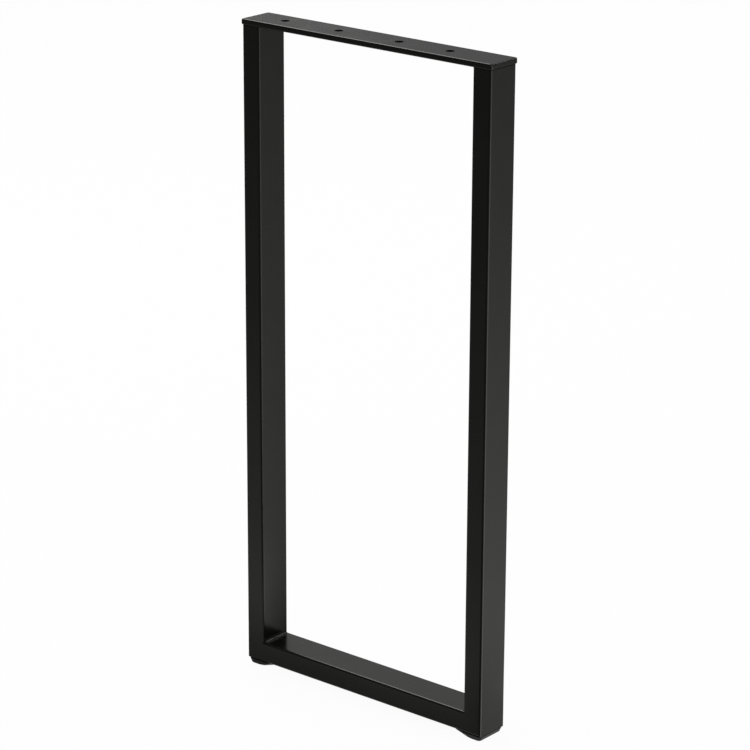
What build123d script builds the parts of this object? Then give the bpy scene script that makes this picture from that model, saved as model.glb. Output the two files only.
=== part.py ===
from build123d import *
import os

# A flat frame leg for a table: two upright tubes, a bottom rail, a screw plate across the
# top and two plug-in feet. All sizes are in millimetres. X runs across the frame, Y through
# its depth with the front at -Y, and Z up from the floor, with the origin midway between the
# feet.

# Overall sizes
leg_height = 710.0
leg_width = 320.0

# Rectangular tube of the uprights and the rail
tube_width = 22.5
tube_depth = 40.0
tube_wall = 1.5
tube_corner = 2.5

# Screw plate with rounded edges, which stands proud of the tubes by a small lip all round
plate_thickness = 6.0
plate_lip = 1.2
plate_corner = 3.0
plate_edge = 1.5
screw_hole_diameter = 9.0
screw_hole_places = (-119.0, -48.0, 30.0, 94.0)

# Weld preparation at the tops of the uprights, and the fillet welds inside the frame
weld_bevel = 0.6
weld_leg = 3.0
weld_hollow = 0.7

# Moulded pad of a foot. Its outer end is steep, its inner end a long rake, and its sides
# are drafted
foot_height = 6.0
foot_neck = 1.0
pad_width = 37.4
pad_top_inset = 0.5
pad_top_length = 35.0
pad_base_inset = 2.5
pad_base_length = 18.0
pad_draft = 10.0
pad_corner = 4.0
pad_edge = 0.6
neck_length = 26.0
neck_width = 29.0
neck_corner = 3.0

# Split snap peg of a foot, and its hole in the underside of the rail
peg_hole_diameter = 8.0
peg_diameter = 7.6
peg_barb_diameter = 9.4
peg_barb_height = 1.2
peg_tip_diameter = 5.6
peg_height = 9.0
peg_slot_width = 1.8

# Levels and places that follow from the sizes above
half_width = leg_width / 2
rail_bottom = foot_height
rail_middle = rail_bottom + tube_width / 2
rail_top = rail_bottom + tube_width
plate_bottom = leg_height - plate_thickness
upright_middle = half_width - tube_width / 2
window_edge = half_width - tube_width
pad_height = foot_height - foot_neck
pad_top_outer = half_width - pad_top_inset
pad_top_inner = pad_top_outer - pad_top_length
pad_base_outer = half_width - pad_base_inset
pad_base_inner = pad_base_outer - pad_base_length
peg_place = (pad_top_outer + pad_top_inner) / 2
bore_width = tube_width - 2 * tube_wall
bore_depth = tube_depth - 2 * tube_wall
bore_corner = tube_corner - tube_wall
bead_length = tube_depth - 2 * tube_corner

sides = {"left": -1, "right": 1}
mitres = {
    name: Plane(origin=(side * half_width, 0, rail_bottom), x_dir=(0, 1, 0), z_dir=(side, 0, 1))
    for name, side in sides.items()
}

os.makedirs("parts", exist_ok=True)

# Top plate: flat bar with rounded edges and four through holes on its centre line
with BuildPart() as top_plate:
    with BuildSketch(Plane.XY.offset(plate_bottom)):
        RectangleRounded(leg_width + 2 * plate_lip, tube_depth + 2 * plate_lip, plate_corner)
    extrude(amount=plate_thickness)
    fillet(top_plate.edges().filter_by(Axis.Z, reverse=True), plate_edge)
    with Locations(*[(place, 0, leg_height) for place in screw_hole_places]):
        Hole(screw_hole_diameter / 2)
top_plate.part.label = "top_plate"
export_step(top_plate.part, "parts/top_plate.step")

# Bottom rail: tube lying flat, mitred at both ends, with a peg hole near each end below
with BuildPart() as bottom_rail:
    with BuildSketch(Plane.YZ):
        with Locations((0, rail_middle)):
            RectangleRounded(tube_depth, tube_width, tube_corner)
            RectangleRounded(bore_depth, bore_width, bore_corner, mode=Mode.SUBTRACT)
    extrude(amount=half_width, both=True)
    for mitre in mitres.values():
        split(bisect_by=mitre, keep=Keep.BOTTOM)
    with BuildSketch(Plane.XY.offset(rail_bottom)):
        with Locations((-peg_place, 0), (peg_place, 0)):
            Circle(peg_hole_diameter / 2)
    extrude(amount=tube_wall, mode=Mode.SUBTRACT)
bottom_rail.part.label = "bottom_rail"
export_step(bottom_rail.part, "parts/bottom_rail.step")

# Uprights: tube standing on the mitre, cut square and bevelled under the plate
for name, side in sides.items():
    with BuildPart() as upright:
        with BuildSketch(Plane.XY.offset(rail_bottom)):
            with Locations((side * upright_middle, 0)):
                RectangleRounded(tube_width, tube_depth, tube_corner)
                RectangleRounded(bore_width, bore_depth, bore_corner, mode=Mode.SUBTRACT)
        extrude(amount=plate_bottom - rail_bottom)
        split(bisect_by=mitres[name], keep=Keep.TOP)
        chamfer(upright.faces().sort_by(Axis.Z)[-1].outer_wire().edges(), weld_bevel)
    upright.part.label = f"{name}_upright"
    export_step(upright.part, f"parts/{name}_upright.step")

# Welds under the plate: a hollow-faced fillet that also fills the bevel behind it
for name, side in sides.items():
    with BuildPart() as weld:
        with BuildSketch(Plane.XZ):
            with BuildLine():
                root = (side * (window_edge + weld_bevel), plate_bottom)
                plate_toe = (side * (window_edge - weld_leg), plate_bottom)
                tube_toe = (side * window_edge, plate_bottom - weld_leg)
                bevel_foot = (side * window_edge, plate_bottom - weld_bevel)
                SagittaArc(plate_toe, tube_toe, side * weld_hollow)
                Polyline(tube_toe, bevel_foot, root, plate_toe)
            make_face()
        extrude(amount=bead_length / 2, both=True)
    weld.part.label = f"top_{name}_weld"
    export_step(weld.part, f"parts/top_{name}_weld.step")

# Welds on the rail: the same fillet in the corner where the mitre ends
for name, side in sides.items():
    with BuildPart() as weld:
        with BuildSketch(Plane.XZ):
            with BuildLine():
                root = (side * window_edge, rail_top)
                rail_toe = (side * (window_edge - weld_leg), rail_top)
                tube_toe = (side * window_edge, rail_top + weld_leg)
                SagittaArc(tube_toe, rail_toe, side * weld_hollow)
                Polyline(rail_toe, root, tube_toe)
            make_face()
        extrude(amount=bead_length / 2, both=True)
    weld.part.label = f"bottom_{name}_weld"
    export_step(weld.part, f"parts/bottom_{name}_weld.step")

# Feet: a raked and drafted pad, a neck that leaves a shadow gap under the rail, and a split
# snap peg whose barb seats on the inside of the rail's wall
for name, side in sides.items():
    with BuildPart() as foot:
        with BuildSketch(Plane.XZ):
            with BuildLine():
                Polyline(
                    (side * pad_top_outer, pad_height),
                    (side * pad_base_outer, 0),
                    (side * pad_base_inner, 0),
                    (side * pad_top_inner, pad_height),
                    close=True,
                )
            make_face()
        extrude(amount=pad_width / 2, both=True)
        draft(foot.faces().filter_by(Axis.Y), Plane.XY.offset(pad_height), -pad_draft)
        corners = foot.edges().filter_by(Axis.X, reverse=True).filter_by(Axis.Y, reverse=True)
        fillet(corners, pad_corner)
        chamfer(foot.faces().sort_by(Axis.Z)[0].edges(), pad_edge)
        with BuildSketch(Plane.XY.offset(pad_height)):
            with Locations((side * peg_place, 0)):
                RectangleRounded(neck_length, neck_width, neck_corner)
        extrude(amount=foot_neck)
        peg_axis = Axis((side * peg_place, 0, rail_bottom), (0, 0, 1))
        with BuildSketch(Plane.XZ.shift_origin(peg_axis.position)):
            with BuildLine():
                Polyline(
                    (0, 0),
                    (peg_diameter / 2, 0),
                    (peg_diameter / 2, tube_wall),
                    (peg_barb_diameter / 2, tube_wall),
                    (peg_barb_diameter / 2, tube_wall + peg_barb_height),
                    (peg_tip_diameter / 2, peg_height),
                    (0, peg_height),
                    close=True,
                )
            make_face()
        revolve(axis=peg_axis)
        with BuildSketch(Plane.XY.offset(rail_bottom)):
            with Locations((side * peg_place, 0)):
                Rectangle(peg_barb_diameter, peg_slot_width)
        extrude(amount=peg_height, mode=Mode.SUBTRACT)
    foot.part.label = f"{name}_foot"
    export_step(foot.part, f"parts/{name}_foot.step")
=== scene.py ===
"""Dresses the frame leg for a table: powder coat, weld beads, moulded feet, studio and camera."""

import math

import bmesh
import bpy
from bpy.props import FloatProperty, FloatVectorProperty, PointerProperty
from mathutils import Matrix, Vector


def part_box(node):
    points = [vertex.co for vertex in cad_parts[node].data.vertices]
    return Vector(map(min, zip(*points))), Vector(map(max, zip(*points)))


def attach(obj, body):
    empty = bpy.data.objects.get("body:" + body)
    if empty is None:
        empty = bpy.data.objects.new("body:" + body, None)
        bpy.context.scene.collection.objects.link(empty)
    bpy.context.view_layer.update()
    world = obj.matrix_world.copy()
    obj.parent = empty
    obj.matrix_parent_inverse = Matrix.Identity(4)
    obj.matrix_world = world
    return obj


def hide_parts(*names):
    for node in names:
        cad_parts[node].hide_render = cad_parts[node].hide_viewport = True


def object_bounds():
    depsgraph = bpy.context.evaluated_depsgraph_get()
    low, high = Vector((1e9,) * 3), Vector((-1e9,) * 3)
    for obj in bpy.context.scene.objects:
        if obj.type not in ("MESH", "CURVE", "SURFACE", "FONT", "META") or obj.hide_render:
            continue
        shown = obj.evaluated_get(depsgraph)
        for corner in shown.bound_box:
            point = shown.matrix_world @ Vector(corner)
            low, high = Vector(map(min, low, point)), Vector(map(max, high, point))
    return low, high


bl_info = {
    "name": "Frame Table Leg",
    "version": (1, 0, 0),
    "blender": (4, 5, 0),
    "location": "3D View > Sidebar > Table Leg",
    "description": "Finishes a welded frame leg in black powder coat, in a plain studio",
    "category": "Object",
}

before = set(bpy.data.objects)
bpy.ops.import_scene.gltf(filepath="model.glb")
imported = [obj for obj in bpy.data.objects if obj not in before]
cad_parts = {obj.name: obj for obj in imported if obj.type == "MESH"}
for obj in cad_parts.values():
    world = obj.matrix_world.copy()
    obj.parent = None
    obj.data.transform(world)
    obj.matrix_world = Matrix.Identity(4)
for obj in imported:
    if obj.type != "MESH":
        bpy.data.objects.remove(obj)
CAD_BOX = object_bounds()

TUBES_AND_PLATE = ("top_plate", "left_upright", "right_upright", "bottom_rail")
FEET = ("left_foot", "right_foot")
SIDES = ("left", "right")
LEVELS = ("top", "bottom")

# Values between which Blender's noise texture nearly always stays
NOISE_LOW = 0.3
NOISE_HIGH = 0.7


class LegCoatingSettings(bpy.types.PropertyGroup):
    """Black powder coat on the plate, the tubes and the welds."""

    colour: FloatVectorProperty(
        name="Colour",
        description="Body colour of the powder coat",
        subtype="COLOR",
        size=3,
        min=0.0,
        max=1.0,
        default=(0.0030, 0.0029, 0.0028),
    )
    cloud_colour: FloatVectorProperty(
        name="Cloud colour",
        description="Slightly lighter colour that the coat drifts to in soft clouds",
        subtype="COLOR",
        size=3,
        min=0.0,
        max=1.0,
        default=(0.0044, 0.0043, 0.0041),
    )
    roughness: FloatProperty(
        name="Roughness",
        description="Middle of the coat's roughness, between gloss and matt",
        subtype="FACTOR",
        min=0.0,
        max=1.0,
        default=0.21,
    )
    roughness_drift: FloatProperty(
        name="Roughness drift",
        description="How far the roughness drifts to each side of its middle",
        subtype="FACTOR",
        min=0.0,
        max=0.5,
        default=0.025,
    )
    specular: FloatProperty(
        name="Specular level",
        description="Strength of the reflection seen straight on",
        subtype="FACTOR",
        min=0.0,
        max=1.0,
        default=0.5,
    )
    specular_tint: FloatVectorProperty(
        name="Specular tint",
        description="Colour that the coat gives to what it mirrors",
        subtype="COLOR",
        size=3,
        min=0.0,
        max=1.0,
        default=(1.0, 1.0, 0.955),
    )
    cloud_size: FloatProperty(
        name="Cloud size",
        description="Size of the soft clouds of colour",
        subtype="DISTANCE",
        unit="LENGTH",
        min=0.001,
        default=0.045,
    )
    gloss_size: FloatProperty(
        name="Gloss size",
        description="Size of the duller and glossier areas",
        subtype="DISTANCE",
        unit="LENGTH",
        min=0.001,
        default=0.015,
    )
    peel_size: FloatProperty(
        name="Peel size",
        description="Width of one bump of the orange peel in the cured powder",
        subtype="DISTANCE",
        unit="LENGTH",
        min=0.0001,
        default=0.0012,
    )
    peel_depth: FloatProperty(
        name="Peel depth",
        description="Depth of the orange peel",
        subtype="DISTANCE",
        unit="LENGTH",
        min=0.0,
        default=0.000002,
        precision=6,
    )


class LegFootSettings(bpy.types.PropertyGroup):
    """Moulded plastic of the plug-in feet."""

    colour: FloatVectorProperty(
        name="Colour",
        description="Colour of the moulded plastic",
        subtype="COLOR",
        size=3,
        min=0.0,
        max=1.0,
        default=(0.014, 0.014, 0.014),
    )
    roughness: FloatProperty(
        name="Roughness",
        description="Roughness of the moulded skin",
        subtype="FACTOR",
        min=0.0,
        max=1.0,
        default=0.4,
    )
    roughness_drift: FloatProperty(
        name="Roughness drift",
        description="How far the roughness drifts to each side of its middle",
        subtype="FACTOR",
        min=0.0,
        max=0.5,
        default=0.06,
    )
    gloss_size: FloatProperty(
        name="Gloss size",
        description="Size of the duller and glossier areas",
        subtype="DISTANCE",
        unit="LENGTH",
        min=0.0005,
        default=0.0054,
    )
    shade_drift: FloatProperty(
        name="Shade drift",
        description="How far the colour drifts lighter and darker, as a share of it",
        subtype="FACTOR",
        min=0.0,
        max=1.0,
        default=0.15,
    )
    shade_size: FloatProperty(
        name="Shade size",
        description="Size of the lighter and darker areas",
        subtype="DISTANCE",
        unit="LENGTH",
        min=0.0005,
        default=0.009,
    )
    specular: FloatProperty(
        name="Specular level",
        description="Strength of the reflection seen straight on",
        subtype="FACTOR",
        min=0.0,
        max=1.0,
        default=0.6,
    )
    grain_size: FloatProperty(
        name="Grain size",
        description="Size of one pip of the spark-eroded grain",
        subtype="DISTANCE",
        unit="LENGTH",
        min=0.00005,
        default=0.00045,
    )
    grain_depth: FloatProperty(
        name="Grain depth",
        description="Depth of the spark-eroded grain",
        subtype="DISTANCE",
        unit="LENGTH",
        min=0.0,
        default=0.00001,
        precision=6,
    )


class LegWeldSettings(bpy.types.PropertyGroup):
    """Fillet welds in the four inner corners of the frame."""

    hollow: FloatProperty(
        name="Hollow",
        description="How far the face of the bead dips below the line between its toes",
        subtype="DISTANCE",
        unit="LENGTH",
        min=0.0,
        default=0.00070,
        precision=5,
    )
    ripple_pitch: FloatProperty(
        name="Ripple pitch",
        description="Distance between two ripples along the bead",
        subtype="DISTANCE",
        unit="LENGTH",
        min=0.0005,
        default=0.0016,
        precision=5,
    )
    ripple_depth: FloatProperty(
        name="Ripple depth",
        description="Depth of a ripple",
        subtype="DISTANCE",
        unit="LENGTH",
        min=0.0,
        default=0.00002,
        precision=5,
    )
    ripple_bow: FloatProperty(
        name="Ripple bow",
        description="How far a ripple bows along the bead, as a share of the pitch",
        subtype="FACTOR",
        min=0.0,
        max=1.0,
        default=0.35,
    )
    end_size: FloatProperty(
        name="End size",
        description="Size of the bead at its ends, as a share of its full size",
        subtype="FACTOR",
        min=0.1,
        max=1.0,
        default=0.95,
    )


class LegStudioSettings(bpy.types.PropertyGroup):
    """Floor, light and camera."""

    floor_size: FloatProperty(
        name="Floor size",
        description="Side of the square floor",
        subtype="DISTANCE",
        unit="LENGTH",
        default=14.0,
    )
    floor_colour: FloatVectorProperty(
        name="Floor colour",
        description="Colour of the paper floor",
        subtype="COLOR",
        size=3,
        default=(0.86, 0.86, 0.86),
    )
    floor_glow: FloatProperty(
        name="Floor glow",
        description="Share of plain white in what the camera and the reflections see of the floor",
        subtype="FACTOR",
        min=0.0,
        max=1.0,
        default=0.95,
    )
    sky_strength: FloatProperty(
        name="Fill light",
        description="Strength of the even light from all round",
        min=0.0,
        default=0.8,
    )
    # The key, bounce, streak, glint and back settings shape painted light and painted shade on the
    # floor, which only reflections show
    key_bearing: FloatProperty(
        name="Key side",
        description="Bearing of the brightest floor, counter-clockwise from +X",
        subtype="ANGLE",
        unit="ROTATION",
        default=math.radians(18),
    )
    key_spread: FloatProperty(
        name="Key spread",
        description="Angle from the middle of the key side to its edge",
        subtype="ANGLE",
        unit="ROTATION",
        default=math.radians(50),
    )
    key_glow: FloatProperty(
        name="Key glow",
        description="Brightness of the floor on the key side, as the leg mirrors it",
        min=0.0,
        default=0.87,
    )
    key_fall: FloatProperty(
        name="Key fall-off",
        description="How fast the key light and the streak weaken with each metre from the leg",
        min=0.0,
        default=0.3,
    )
    # Painted shade on the floor close to the leg
    key_shade: FloatProperty(
        name="Key shade",
        description="Share of the key light that is left on the floor right at the leg",
        subtype="FACTOR",
        min=0.0,
        max=1.0,
        default=0.63,
    )
    key_gap: FloatProperty(
        name="Key gap",
        description="Distance behind the leg's front at which the key light is whole",
        subtype="DISTANCE",
        unit="LENGTH",
        min=0.001,
        default=0.3,
    )
    bounce_bearing: FloatProperty(
        name="Bounce side",
        description="Bearing of the floor that bounced light brightens, counter-clockwise from +X",
        subtype="ANGLE",
        unit="ROTATION",
        default=math.radians(187),
    )
    bounce_spread: FloatProperty(
        name="Bounce spread",
        description="Angle from the middle of the bounce side to its edge",
        subtype="ANGLE",
        unit="ROTATION",
        default=math.radians(66),
    )
    bounce_glow: FloatProperty(
        name="Bounce glow",
        description="Brightness of the floor on the bounce side, as the leg mirrors it",
        min=0.0,
        default=0.45,
    )
    bounce_reach: FloatProperty(
        name="Bounce reach",
        description="Distance from the leg at which the bounced light has halved",
        subtype="DISTANCE",
        unit="LENGTH",
        min=0.01,
        default=0.95,
    )
    # Painted shade on the floor close to the leg
    bounce_shade: FloatProperty(
        name="Bounce shade",
        description="Share of the bounced light that is left on the floor right at the leg",
        subtype="FACTOR",
        min=0.0,
        max=1.0,
        default=0.3,
    )
    bounce_gap: FloatProperty(
        name="Bounce gap",
        description="Distance in front of the leg at which the bounced light is whole",
        subtype="DISTANCE",
        unit="LENGTH",
        min=0.001,
        default=0.15,
    )
    streak_bearing: FloatProperty(
        name="Streak side",
        description="Bearing of the narrow streak of light on the floor, counter-clockwise from +X",
        subtype="ANGLE",
        unit="ROTATION",
        default=math.radians(0),
    )
    streak_spread: FloatProperty(
        name="Streak spread",
        description="Angle from the middle of the streak to its edge",
        subtype="ANGLE",
        unit="ROTATION",
        default=math.radians(34),
    )
    streak_glow: FloatProperty(
        name="Streak glow",
        description="Brightness of the streak, as the leg mirrors it",
        min=0.0,
        default=2.1,
    )
    glint_bearing: FloatProperty(
        name="Glint side",
        description="Bearing of the glint on the floor, counter-clockwise from +X",
        subtype="ANGLE",
        unit="ROTATION",
        default=math.radians(32),
    )
    glint_spread: FloatProperty(
        name="Glint spread",
        description="Angle from the middle of the glint to its edge",
        subtype="ANGLE",
        unit="ROTATION",
        default=math.radians(16),
    )
    glint_glow: FloatProperty(
        name="Glint glow",
        description="Brightness of the glint, as the leg mirrors it",
        min=0.0,
        default=1.2,
    )
    glint_reach: FloatProperty(
        name="Glint reach",
        description="Distance from the left upright at which the glint has ended",
        subtype="DISTANCE",
        unit="LENGTH",
        min=0.01,
        default=0.41,
    )
    back_bearing: FloatProperty(
        name="Back side",
        description="Bearing of the bright floor behind the leg, counter-clockwise from +X",
        subtype="ANGLE",
        unit="ROTATION",
        default=math.radians(118),
    )
    back_spread: FloatProperty(
        name="Back spread",
        description="Angle from the middle of the back side to its edge",
        subtype="ANGLE",
        unit="ROTATION",
        default=math.radians(62),
    )
    back_glow: FloatProperty(
        name="Back glow",
        description="Brightness of the floor behind the leg, as the leg mirrors it",
        min=0.0,
        default=0.6,
    )
    back_reach: FloatProperty(
        name="Back reach",
        description="Distance from the leg at which the light behind it has halved",
        subtype="DISTANCE",
        unit="LENGTH",
        min=0.01,
        default=1.6,
    )
    # Painted dim reflection of the unlit studio, on the floor and in the sky
    dark_glow: FloatProperty(
        name="Dark side glow",
        description="Brightness of the unlit part of the studio, as the leg mirrors it",
        min=0.0,
        default=0.035,
    )
    top_light_bearing: FloatProperty(
        name="Top light bearing",
        description="Bearing of the top light, counter-clockwise from +X",
        subtype="ANGLE",
        unit="ROTATION",
        default=math.radians(148),
    )
    top_light_height: FloatProperty(
        name="Top light height",
        description="Height of the top light above the horizon",
        subtype="ANGLE",
        unit="ROTATION",
        default=math.radians(44),
    )
    top_light_size: FloatProperty(
        name="Top light size",
        description="Side of the top light",
        subtype="DISTANCE",
        unit="LENGTH",
        default=1.5,
    )
    top_light_glow: FloatProperty(
        name="Top light glow",
        description="Brightness of the top light's face, where 1 is white",
        min=0.0,
        default=2.8,
    )
    # The halo settings paint bright walls into the sky, which only reflections show
    halo_edge: FloatProperty(
        name="Halo edge",
        description="Cosine of the angle from the top light at which its halo on the wall ends",
        min=-1.0,
        max=1.0,
        default=0.67,
    )
    halo_glow: FloatProperty(
        name="Halo glow",
        description="Brightness of the wall beside the top light, as the leg mirrors it",
        min=0.0,
        default=0.51,
    )
    front_halo_bearing: FloatProperty(
        name="Front halo bearing",
        description="Bearing of the middle of the bright wall in front, counter-clockwise from +X",
        subtype="ANGLE",
        unit="ROTATION",
        default=math.radians(320),
    )
    front_halo_height: FloatProperty(
        name="Front halo height",
        description="Height of the middle of the bright wall in front, above the horizon",
        subtype="ANGLE",
        unit="ROTATION",
        default=math.radians(40),
    )
    front_halo_edge: FloatProperty(
        name="Front halo edge",
        description="Cosine of the angle from its middle at which the bright wall ends",
        min=-1.0,
        max=1.0,
        default=0.35,
    )
    front_halo_glow: FloatProperty(
        name="Front halo glow",
        description="Brightness of the wall in front, as the leg mirrors it",
        min=0.0,
        default=0.6,
    )
    rim_light_bearing: FloatProperty(
        name="Rim light bearing",
        description="Bearing of the rim light, counter-clockwise from +X",
        subtype="ANGLE",
        unit="ROTATION",
        default=math.radians(67),
    )
    rim_light_height: FloatProperty(
        name="Rim light height",
        description="Height of the rim light above the horizon",
        subtype="ANGLE",
        unit="ROTATION",
        default=math.radians(37),
    )
    rim_light_size: FloatProperty(
        name="Rim light size",
        description="Side of the rim light",
        subtype="DISTANCE",
        unit="LENGTH",
        default=0.3,
    )
    rim_light_glow: FloatProperty(
        name="Rim light glow",
        description="Brightness of the rim light's face, where 1 is white",
        min=0.0,
        default=11.0,
    )
    camera_place: FloatVectorProperty(
        name="Camera place",
        description="Where the camera stands",
        subtype="TRANSLATION",
        unit="LENGTH",
        size=3,
        default=(1.94401, -2.337178, 1.372014),
    )
    camera_turn: FloatProperty(
        name="Camera turn",
        description="Turn of the camera about the vertical, to the left from looking along +Y",
        subtype="ANGLE",
        unit="ROTATION",
        default=math.radians(39.7375),
    )
    camera_dip: FloatProperty(
        name="Camera dip",
        description="How far the camera looks below the horizon",
        subtype="ANGLE",
        unit="ROTATION",
        default=math.radians(18.445),
    )
    camera_roll: FloatProperty(
        name="Camera roll",
        description="Roll of the camera about its own axis",
        subtype="ANGLE",
        unit="ROTATION",
        default=math.radians(0.2674),
    )
    camera_lens: FloatProperty(
        name="Lens",
        description="Focal length in millimetres on a 36 mm sensor",
        default=150.178,
    )


def new_material(name):
    """An empty material, with its surface shader, its nodes and its links."""
    material = bpy.data.materials.new(name)
    material.use_nodes = True
    nodes = material.node_tree.nodes
    return material, nodes["Principled BSDF"], nodes, material.node_tree.links


def noise_at(nodes, links, place, size, detail, low, high):
    """Noise of one feature size in metres, spread over the range low to high."""
    noise = nodes.new("ShaderNodeTexNoise")
    noise.inputs["Scale"].default_value = 1.0 / size
    noise.inputs["Detail"].default_value = detail
    links.new(place, noise.inputs["Vector"])
    spread = nodes.new("ShaderNodeMapRange")
    spread.inputs["From Min"].default_value = NOISE_LOW
    spread.inputs["From Max"].default_value = NOISE_HIGH
    spread.inputs["To Min"].default_value = low
    spread.inputs["To Max"].default_value = high
    links.new(noise.outputs["Fac"], spread.inputs["Value"])
    return spread.outputs["Result"]


def powder_coat(settings):
    """Satin black powder coat: clouds of colour and gloss over a fine orange peel."""
    material, shader, nodes, links = new_material("satin_black_powder_coat")
    place = nodes.new("ShaderNodeTexCoord").outputs["Object"]
    clouds = noise_at(nodes, links, place, settings.cloud_size, detail=3.0, low=0.0, high=1.0)
    colour = nodes.new("ShaderNodeMix")
    colour.data_type = "RGBA"
    colour.inputs["A"].default_value = (*settings.colour, 1.0)
    colour.inputs["B"].default_value = (*settings.cloud_colour, 1.0)
    links.new(clouds, colour.inputs["Factor"])
    links.new(colour.outputs["Result"], shader.inputs["Base Color"])
    gloss = noise_at(
        nodes,
        links,
        place,
        settings.gloss_size,
        detail=4.0,
        low=settings.roughness - settings.roughness_drift,
        high=settings.roughness + settings.roughness_drift,
    )
    links.new(gloss, shader.inputs["Roughness"])
    peel = noise_at(nodes, links, place, settings.peel_size, detail=2.0, low=0.0, high=1.0)
    bump = nodes.new("ShaderNodeBump")
    bump.inputs["Distance"].default_value = settings.peel_depth
    links.new(peel, bump.inputs["Height"])
    links.new(bump.outputs["Normal"], shader.inputs["Normal"])
    shader.inputs["Specular IOR Level"].default_value = settings.specular
    shader.inputs["Specular Tint"].default_value = (*settings.specular_tint, 1.0)
    return material


def moulded_plastic(settings):
    """Matt black plastic with a spark-eroded grain."""
    material, shader, nodes, links = new_material("matt_black_moulded_plastic")
    place = nodes.new("ShaderNodeTexCoord").outputs["Object"]
    grain = nodes.new("ShaderNodeTexVoronoi")
    grain.inputs["Scale"].default_value = 1.0 / settings.grain_size
    links.new(place, grain.inputs["Vector"])
    bump = nodes.new("ShaderNodeBump")
    bump.inputs["Distance"].default_value = settings.grain_depth
    links.new(grain.outputs["Distance"], bump.inputs["Height"])
    links.new(bump.outputs["Normal"], shader.inputs["Normal"])
    gloss = noise_at(
        nodes,
        links,
        place,
        settings.gloss_size,
        detail=3.0,
        low=settings.roughness - settings.roughness_drift,
        high=settings.roughness + settings.roughness_drift,
    )
    links.new(gloss, shader.inputs["Roughness"])
    shade = noise_at(
        nodes,
        links,
        place,
        settings.shade_size,
        detail=2.0,
        low=1.0 - settings.shade_drift,
        high=1.0 + settings.shade_drift,
    )
    colour = nodes.new("ShaderNodeMix")
    colour.data_type = "RGBA"
    colour.blend_type = "MULTIPLY"
    colour.inputs["Factor"].default_value = 1.0
    colour.inputs["A"].default_value = (*settings.colour, 1.0)
    links.new(shade, colour.inputs["B"])
    links.new(colour.outputs["Result"], shader.inputs["Base Color"])
    shader.inputs["Specular IOR Level"].default_value = settings.specular
    return material


def paint(obj, material):
    """Puts one material in every slot of an object."""
    if not obj.material_slots:
        obj.data.materials.append(material)
    for slot in obj.material_slots:
        slot.material = material


def calculate(nodes, links, operation, *values):
    """One sum, each of its values a node's output or a number."""
    node = nodes.new("ShaderNodeMath")
    node.operation = operation
    for value, socket in zip(values, node.inputs):
        if isinstance(value, bpy.types.NodeSocket):
            links.new(value, socket)
        else:
            socket.default_value = value
    return node.outputs["Value"]


def towards(nodes, links, place, direction):
    """How far a place lies along one direction."""
    node = nodes.new("ShaderNodeVectorMath")
    node.operation = "DOT_PRODUCT"
    node.inputs[1].default_value = direction
    links.new(place, node.inputs[0])
    return node.outputs["Value"]


def size_of(nodes, links, vector):
    """Length of a vector."""
    node = nodes.new("ShaderNodeVectorMath")
    node.operation = "LENGTH"
    links.new(vector, node.inputs[0])
    return node.outputs["Value"]


def rise(nodes, links, value, start, end, low, high):
    """A smooth rise from low at start to high at end."""
    node = nodes.new("ShaderNodeMapRange")
    node.interpolation_type = "SMOOTHSTEP"
    node.inputs["From Min"].default_value = start
    node.inputs["From Max"].default_value = end
    node.inputs["To Min"].default_value = low
    node.inputs["To Max"].default_value = high
    links.new(value, node.inputs["Value"])
    return node.outputs["Result"]


def compass(bearing, height):
    """Unit vector at a bearing from +X, counter-clockwise, and a height above the horizon."""
    flat = math.cos(height)
    return (flat * math.cos(bearing), flat * math.sin(bearing), math.sin(height))


def background(nodes, links, reflection):
    """Share and strength of a background that is plain white, but graded in reflections by painted
    light.
    """
    path = nodes.new("ShaderNodeLightPath")
    reflected = path.outputs["Is Glossy Ray"]
    through = path.outputs["Is Transmission Ray"]
    seen = calculate(nodes, links, "MAXIMUM", path.outputs["Is Camera Ray"], through)
    share = calculate(nodes, links, "MAXIMUM", seen, reflected)
    strength = nodes.new("ShaderNodeMix")
    strength.inputs["A"].default_value = 1.0
    links.new(reflected, strength.inputs["Factor"])
    links.new(reflection, strength.inputs["B"])
    return share, strength.outputs["Result"]


class LEG_OT_coat_frame(bpy.types.Operator):
    """Puts the powder coat on the plate, the uprights and the rail"""

    bl_idname = "leg.coat_frame"
    bl_label = "Coat the Frame"

    def execute(self, context):
        coat = powder_coat(context.scene.leg_coating)
        for name in TUBES_AND_PLATE:
            paint(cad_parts[name], coat)
        return {"FINISHED"}


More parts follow.
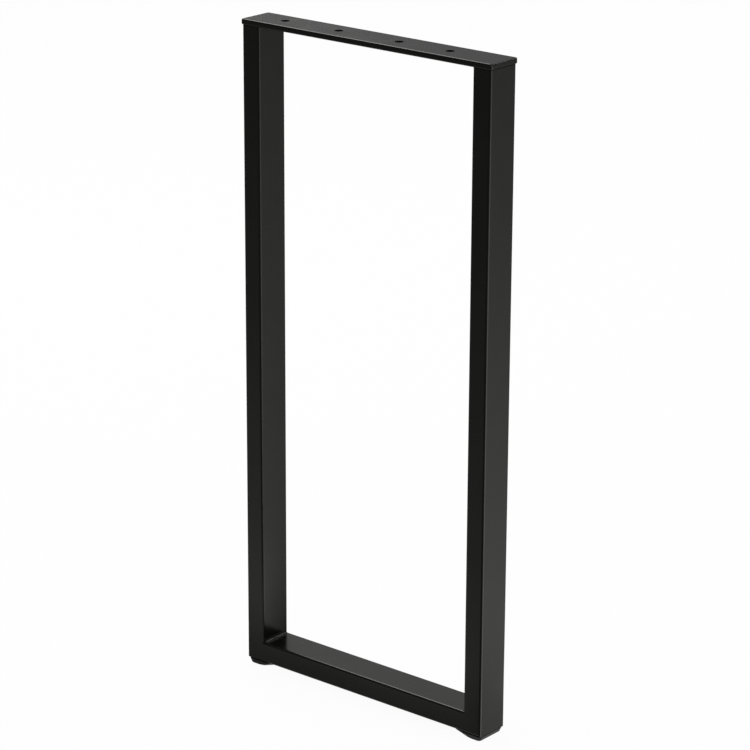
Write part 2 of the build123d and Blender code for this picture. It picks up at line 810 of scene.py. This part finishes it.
class LEG_OT_lay_welds(bpy.types.Operator):
    """Lays a rippled fillet bead in each inner corner of the frame"""

    bl_idname = "leg.lay_welds"
    bl_label = "Lay the Welds"

    # Mesh of a bead, and the angle past which its edges stay sharp
    stations_per_ripple = 6
    steps_across = 8
    sharp_angle = math.radians(40)

    def face_point(self, settings, corner, along, up, size, y, t, taper):
        """A point on the bead's face, t running from the toe on the plate or rail to the other."""
        toe_a = corner + along * size
        toe_b = corner + up * size
        inward = -(along + up).normalized()
        bow = settings.ripple_bow * settings.ripple_pitch * (2 * t - 1) ** 2
        wave = math.cos(2 * math.pi * (y - bow) / settings.ripple_pitch)
        deepest = settings.hollow + settings.ripple_depth * (1 - wave) / 2
        dip = deepest * 4 * t * (1 - t)
        point = toe_a.lerp(toe_b, t) + inward * dip * taper
        return Vector((point.x, y, point.z))

    def bead(self, context, level, side):
        """The mesh of one bead, closed at its back and its ends."""
        settings = context.scene.leg_welds
        node = f"{level}_{side}_weld"
        low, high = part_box(node)
        upright_low, upright_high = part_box(f"{side}_upright")
        if side == "left":
            inner_face = upright_high.x
            along = Vector((1, 0, 0))
        else:
            inner_face = upright_low.x
            along = Vector((-1, 0, 0))
        if level == "bottom":
            corner = Vector((inner_face, 0, low.z))
            up = Vector((0, 0, 1))
        else:
            corner = Vector((inner_face, 0, high.z))
            up = Vector((0, 0, -1))
        leg = high.z - low.z
        length = high.y - low.y
        count = round(length / settings.ripple_pitch) * self.stations_per_ripple
        mesh = bmesh.new()
        rows = []
        for station in range(count + 1):
            y = low.y + length * station / count
            to_end = min(y - low.y, high.y - y)
            swell = math.sqrt(min(1.0, to_end / leg))
            taper = settings.end_size + (1 - settings.end_size) * swell
            row = []
            for step in range(self.steps_across + 1):
                t = step / self.steps_across
                point = self.face_point(settings, corner, along, up, leg * taper, y, t, taper)
                row.append(mesh.verts.new(point))
            row.append(mesh.verts.new(Vector((corner.x, y, corner.z))))
            rows.append(row)
        for here, there in zip(rows, rows[1:]):
            for i in range(len(here)):
                k = (i + 1) % len(here)
                mesh.faces.new((here[i], here[k], there[k], there[i]))
        mesh.faces.new(rows[0])
        mesh.faces.new(list(reversed(rows[-1])))
        bmesh.ops.recalc_face_normals(mesh, faces=mesh.faces)
        data = bpy.data.meshes.new(f"{node}_bead")
        mesh.to_mesh(data)
        mesh.free()
        data.shade_smooth()
        data.set_sharp_from_angle(angle=self.sharp_angle)
        bead = bpy.data.objects.new(f"{node}_bead", data)
        context.scene.collection.objects.link(bead)
        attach(bead, "root")
        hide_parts(node)
        return bead

    def execute(self, context):
        coat = bpy.data.materials["satin_black_powder_coat"]
        for level in LEVELS:
            for side in SIDES:
                paint(self.bead(context, level, side), coat)
        return {"FINISHED"}


class LEG_OT_finish_feet(bpy.types.Operator):
    """Gives the plug-in feet their moulded plastic"""

    bl_idname = "leg.finish_feet"
    bl_label = "Finish the Feet"

    def execute(self, context):
        plastic = moulded_plastic(context.scene.leg_feet)
        for name in FEET:
            paint(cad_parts[name], plastic)
        return {"FINISHED"}


class LEG_OT_set_studio(bpy.types.Operator):
    """Lays the white floor, hangs the soft lamps and stands the camera"""

    bl_idname = "leg.set_studio"
    bl_label = "Set the Studio"

    # Distance of the lamps from the middle of the leg, in metres
    lamp_distance = 2.8

    # Half the width of the soft edge between painted light and painted shade on the floor, in
    # metres
    half_painted_shadow = 0.01

    # Share of its reach up to which the painted glint is whole
    glint_whole = 0.8

    def painted_fan(self, nodes, links, start, bearing, spread, glow):
        """Painted light on the floor that fans out from a start, with its distance and offset from
        it.
        """
        place = nodes.new("ShaderNodeTexCoord").outputs["Object"]
        from_start = nodes.new("ShaderNodeVectorMath")
        from_start.operation = "SUBTRACT"
        from_start.inputs[1].default_value = start
        links.new(place, from_start.inputs[0])
        offset = from_start.outputs["Vector"]
        distance = size_of(nodes, links, offset)
        along = towards(nodes, links, offset, compass(bearing, 0.0))
        share = calculate(nodes, links, "DIVIDE", along, distance)
        lit = rise(nodes, links, share, start=math.cos(spread), end=1.0, low=0.0, high=glow)
        return lit, distance, offset

    def slow_fade(self, nodes, links, lit, distance, fall):
        """Light that weakens evenly with its distance."""
        weakening = calculate(nodes, links, "MULTIPLY_ADD", distance, fall, 1.0)
        return calculate(nodes, links, "DIVIDE", lit, weakening)

    def fast_fade(self, nodes, links, lit, distance, reach):
        """Light that weakens with the square of its distance, to half at its reach."""
        reaches = calculate(nodes, links, "DIVIDE", distance, reach)
        weakening = calculate(nodes, links, "MULTIPLY_ADD", reaches, reaches, 1.0)
        return calculate(nodes, links, "DIVIDE", lit, weakening)

    def with_painted_shade(self, nodes, links, lit, away, gap, shade):
        """Painted shade by the leg: the painted light is none behind it, a share at it and all past
        the gap.
        """
        near = rise(nodes, links, away, start=0.0, end=gap, low=shade, high=1.0)
        edge = self.half_painted_shadow
        this_side = rise(nodes, links, away, start=-edge, end=edge, low=0.0, high=1.0)
        left = calculate(nodes, links, "MULTIPLY", near, this_side)
        return calculate(nodes, links, "MULTIPLY", lit, left)

    def key(self, settings, nodes, links, start):
        """Painted pool of light on the floor at the right of the leg, from its front backwards,
        with painted shade close to the leg.
        """
        lit, distance, offset = self.painted_fan(
            nodes,
            links,
            start,
            settings.key_bearing,
            settings.key_spread,
            settings.key_glow,
        )
        lit = self.slow_fade(nodes, links, lit, distance, settings.key_fall)
        behind = towards(nodes, links, offset, (0.0, 1.0, 0.0))
        return self.with_painted_shade(nodes, links, lit, behind, settings.key_gap, settings.key_shade)

    def streak(self, settings, nodes, links, start):
        """Painted streak of light on the floor beside the leg, which draws a painted highlight line
        on its upright corners.
        """
        lit, distance, _ = self.painted_fan(
            nodes,
            links,
            start,
            settings.streak_bearing,
            settings.streak_spread,
            settings.streak_glow,
        )
        return self.slow_fade(nodes, links, lit, distance, settings.key_fall)

    def glint(self, settings, nodes, links, start):
        """Painted glint on the floor behind the rail, which draws the same painted highlight line
        low on the left upright.
        """
        lit, distance, _ = self.painted_fan(
            nodes,
            links,
            start,
            settings.glint_bearing,
            settings.glint_spread,
            settings.glint_glow,
        )
        reach = settings.glint_reach
        whole = self.glint_whole * reach
        near = rise(nodes, links, distance, start=whole, end=reach, low=1.0, high=0.0)
        return calculate(nodes, links, "MULTIPLY", lit, near)

    def bounce(self, settings, nodes, links, start):
        """Dimmer painted light on the floor in front of the leg and to its left, with painted shade
        close to the leg.
        """
        lit, distance, offset = self.painted_fan(
            nodes,
            links,
            start,
            settings.bounce_bearing,
            settings.bounce_spread,
            settings.bounce_glow,
        )
        lit = self.fast_fade(nodes, links, lit, distance, settings.bounce_reach)
        in_front = towards(nodes, links, offset, (0.0, -1.0, 0.0))
        return self.with_painted_shade(nodes, links, lit, in_front, settings.bounce_gap, settings.bounce_shade)

    def back(self, settings, nodes, links, start):
        """Painted pool of light on the floor behind the leg."""
        lit, distance, _ = self.painted_fan(
            nodes,
            links,
            start,
            settings.back_bearing,
            settings.back_spread,
            settings.back_glow,
        )
        return self.fast_fade(nodes, links, lit, distance, settings.back_reach)

    def painted_floor_light(self, settings, nodes, links):
        """Floor as the leg mirrors it: the painted pools of light and painted shade on it added up.
        """
        low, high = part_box("left_upright")
        inner_corner = (high.x, low.y, 0.0)
        back_corner = (low.x, high.y, 0.0)
        low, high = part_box("right_upright")
        outer_corner = (high.x, low.y, 0.0)
        glow = settings.dark_glow
        for light in (
            self.key(settings, nodes, links, inner_corner),
            self.streak(settings, nodes, links, outer_corner),
            self.glint(settings, nodes, links, inner_corner),
            self.bounce(settings, nodes, links, outer_corner),
            self.back(settings, nodes, links, back_corner),
        ):
            glow = calculate(nodes, links, "ADD", glow, light)
        return glow

    def floor(self, context, settings):
        """White paper floor: plain white to the camera, with the soft shadow of the leg, and
        painted light and painted shade in its reflections.
        """
        half = settings.floor_size / 2
        data = bpy.data.meshes.new("floor")
        corners = [(-half, -half, 0), (half, -half, 0), (half, half, 0), (-half, half, 0)]
        data.from_pydata(corners, [], [(0, 1, 2, 3)])
        floor = bpy.data.objects.new("floor", data)
        context.scene.collection.objects.link(floor)
        material, shader, nodes, links = new_material("white_paper_floor")
        shader.inputs["Base Color"].default_value = (*settings.floor_colour, 1.0)
        shader.inputs["Roughness"].default_value = 1.0
        shader.inputs["Specular IOR Level"].default_value = 0.0
        # Reflections of the floor show the painted light and painted shade
        share, strength = background(nodes, links, self.painted_floor_light(settings, nodes, links))
        glow = nodes.new("ShaderNodeEmission")
        links.new(strength, glow.inputs["Strength"])
        mix = nodes.new("ShaderNodeMixShader")
        glowing = calculate(nodes, links, "MULTIPLY", share, settings.floor_glow)
        links.new(glowing, mix.inputs["Fac"])
        links.new(shader.outputs["BSDF"], mix.inputs[1])
        links.new(glow.outputs["Emission"], mix.inputs[2])
        links.new(mix.outputs["Shader"], nodes["Material Output"].inputs["Surface"])
        data.materials.append(material)

    def sky(self, context, settings):
        """Even fill light, with a plain white background whose reflections show two painted bright
        walls.
        """
        world = bpy.data.worlds.new("studio")
        world.use_nodes = True
        nodes, links = world.node_tree.nodes, world.node_tree.links
        fill = nodes["Background"]
        fill.inputs["Color"].default_value = (1.0, 1.0, 1.0, 1.0)
        fill.inputs["Strength"].default_value = settings.sky_strength
        direction = nodes.new("ShaderNodeTexCoord").outputs["Generated"]
        # Painted reflection: a dim sky with two painted bright walls, which only reflections show
        wall = settings.dark_glow
        for bearing, height, edge, glow in (
            (
                settings.top_light_bearing,
                settings.top_light_height,
                settings.halo_edge,
                settings.halo_glow,
            ),
            (
                settings.front_halo_bearing,
                settings.front_halo_height,
                settings.front_halo_edge,
                settings.front_halo_glow,
            ),
        ):
            nearness = towards(nodes, links, direction, compass(bearing, height))
            halo = rise(nodes, links, nearness, start=edge, end=1.0, low=0.0, high=glow)
            wall = calculate(nodes, links, "ADD", wall, halo)
        share, strength = background(nodes, links, wall)
        white = nodes.new("ShaderNodeBackground")
        white.inputs["Color"].default_value = (1.0, 1.0, 1.0, 1.0)
        links.new(strength, white.inputs["Strength"])
        mix = nodes.new("ShaderNodeMixShader")
        links.new(share, mix.inputs["Fac"])
        links.new(fill.outputs["Background"], mix.inputs[1])
        links.new(white.outputs["Background"], mix.inputs[2])
        links.new(mix.outputs["Shader"], nodes["World Output"].inputs["Surface"])
        context.scene.world = world

    def softbox(self, context, name, bearing, height, size, glow):
        """One square soft lamp that faces the middle of the leg, as bright as glow times white."""
        light = bpy.data.lights.new(name, "AREA")
        light.shape = "SQUARE"
        light.size = size
        light.energy = glow * math.pi * size**2
        lamp = bpy.data.objects.new(name, light)
        middle = Vector((0, 0, CAD_BOX[1].z / 2))
        way = Vector(compass(bearing, height))
        lamp.location = middle + way * self.lamp_distance
        lamp.rotation_euler = (-way).to_track_quat("-Z", "Y").to_euler()
        lamp.visible_camera = False
        context.scene.collection.objects.link(lamp)

    def camera(self, context, settings):
        """Camera at the viewing angle of a product shot from the front right and above."""
        data = bpy.data.cameras.new("camera")
        data.sensor_width = 36.0
        data.lens = settings.camera_lens
        data.clip_end = 50.0
        camera = bpy.data.objects.new("camera", data)
        turn = Matrix.Rotation(settings.camera_turn, 4, "Z")
        dip = Matrix.Rotation(math.radians(90) - settings.camera_dip, 4, "X")
        roll = Matrix.Rotation(settings.camera_roll, 4, "Z")
        camera.matrix_world = Matrix.Translation(settings.camera_place) @ turn @ dip @ roll
        context.scene.collection.objects.link(camera)
        context.scene.camera = camera

    def execute(self, context):
        settings = context.scene.leg_studio
        self.floor(context, settings)
        self.sky(context, settings)
        self.softbox(
            context,
            "top_softbox",
            settings.top_light_bearing,
            settings.top_light_height,
            settings.top_light_size,
            settings.top_light_glow,
        )
        self.softbox(
            context,
            "rim_softbox",
            settings.rim_light_bearing,
            settings.rim_light_height,
            settings.rim_light_size,
            settings.rim_light_glow,
        )
        self.camera(context, settings)
        context.scene.view_settings.view_transform = "Standard"
        return {"FINISHED"}


class LEG_PT_panel(bpy.types.Panel):
    """Sizes and finishes of the leg"""

    bl_label = "Table Leg"
    bl_idname = "LEG_PT_panel"
    bl_space_type = "VIEW_3D"
    bl_region_type = "UI"
    bl_category = "Table Leg"

    def draw(self, context):
        scene = context.scene
        for title, operator, group in (
            ("Powder coat", "leg.coat_frame", scene.leg_coating),
            ("Welds", "leg.lay_welds", scene.leg_welds),
            ("Feet", "leg.finish_feet", scene.leg_feet),
            ("Studio", "leg.set_studio", scene.leg_studio),
        ):
            box = self.layout.box()
            box.label(text=title)
            for name in group.bl_rna.properties.keys():
                if name not in ("rna_type", "name"):
                    box.prop(group, name)
            box.operator(operator)


CLASSES = (
    LegCoatingSettings,
    LegFootSettings,
    LegWeldSettings,
    LegStudioSettings,
    LEG_OT_coat_frame,
    LEG_OT_lay_welds,
    LEG_OT_finish_feet,
    LEG_OT_set_studio,
    LEG_PT_panel,
)


def register():
    for cls in CLASSES:
        bpy.utils.register_class(cls)
    bpy.types.Scene.leg_coating = PointerProperty(type=LegCoatingSettings)
    bpy.types.Scene.leg_feet = PointerProperty(type=LegFootSettings)
    bpy.types.Scene.leg_welds = PointerProperty(type=LegWeldSettings)
    bpy.types.Scene.leg_studio = PointerProperty(type=LegStudioSettings)


def unregister():
    del bpy.types.Scene.leg_studio
    del bpy.types.Scene.leg_welds
    del bpy.types.Scene.leg_feet
    del bpy.types.Scene.leg_coating
    for cls in reversed(CLASSES):
        bpy.utils.unregister_class(cls)


def main():
    register()
    bpy.ops.leg.coat_frame()
    bpy.ops.leg.lay_welds()
    bpy.ops.leg.finish_feet()
    bpy.ops.leg.set_studio()


if __name__ == "__main__":
    main()
